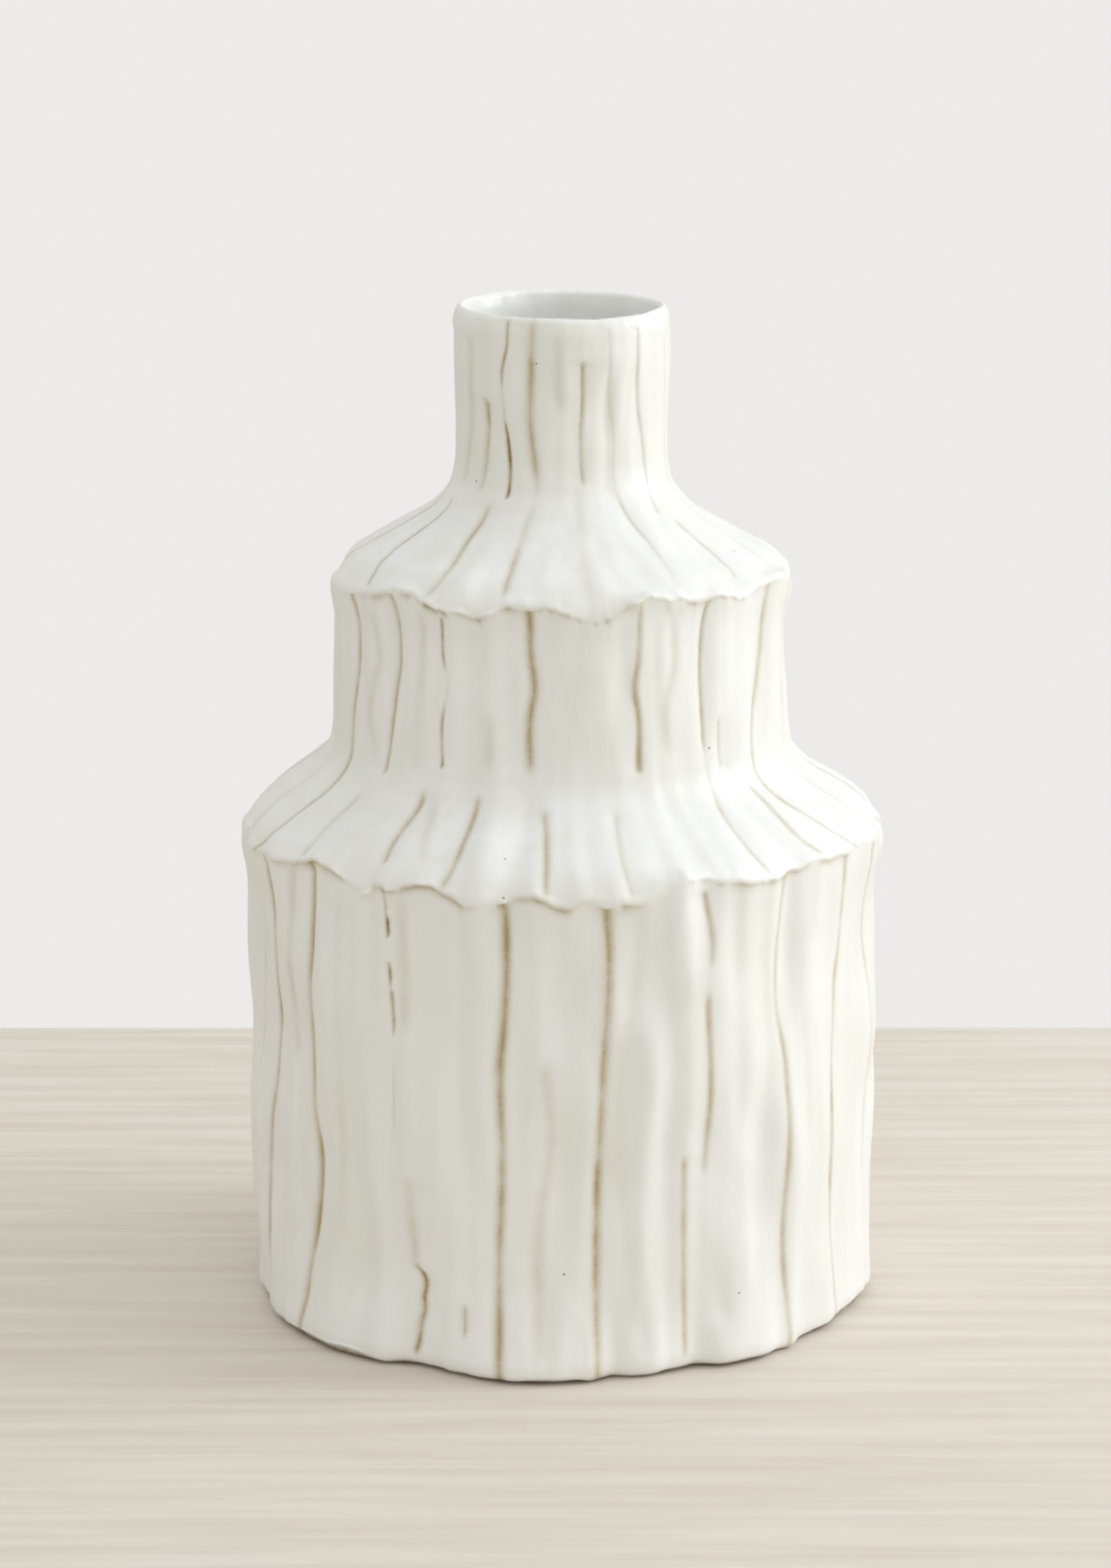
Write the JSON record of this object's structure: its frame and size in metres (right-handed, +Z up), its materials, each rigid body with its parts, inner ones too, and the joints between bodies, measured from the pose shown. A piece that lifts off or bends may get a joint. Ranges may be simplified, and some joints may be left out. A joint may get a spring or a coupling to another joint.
{
  "type": "bud vase",
  "caption": "Tiered ceramic bud vase with sloping shoulders, a narrow open neck and irregular upright seams under a satin white glaze.",
  "frame": {"origin": "centre of the foot, on the surface that the vase stands on", "axes": "+Z up along the vase's axis, from the foot to the rim; -Y towards the side seen first"},
  "size_m": [0.1136, 0.1138, 0.178],
  "materials": {
    "white_glaze": "satin",
    "foot": "satin"
  },
  "bodies": {
    "root": {"base": "foot", "lower_wall": "white_glaze", "lower_shoulder": "white_glaze", "middle_wall": "white_glaze", "upper_shoulder": "white_glaze", "neck": "white_glaze"}
  },
  "joints": []
}
